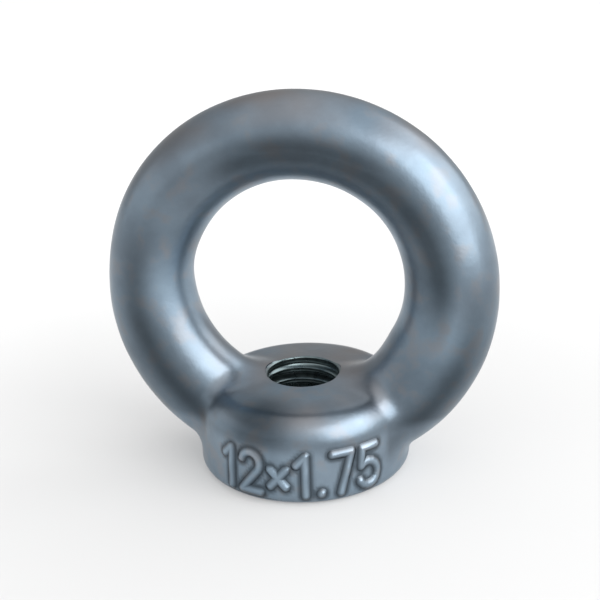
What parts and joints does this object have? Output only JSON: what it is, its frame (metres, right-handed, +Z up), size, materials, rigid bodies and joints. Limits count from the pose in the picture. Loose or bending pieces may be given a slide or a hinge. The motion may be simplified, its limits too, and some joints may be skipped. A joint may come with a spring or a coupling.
{
  "type": "lifting eye nut",
  "caption": "Forged steel lifting eye nut: a round ring standing on a thick round collar with a threaded bore up its middle.",
  "frame": {"origin": "centre of the seat, where the thread's axis meets the flat face that the nut sits on", "axes": "+Z up the thread's axis through the collar to the crown of the ring; the ring lies in the XZ plane, so +Y runs through the eye"},
  "size_m": [0.0542, 0.0298, 0.053],
  "materials": {
    "forged_steel": "satin blue-grey, drop-forged and blasted"
  },
  "bodies": {
    "root": {"eye_nut": "forged_steel"}
  },
  "joints": []
}
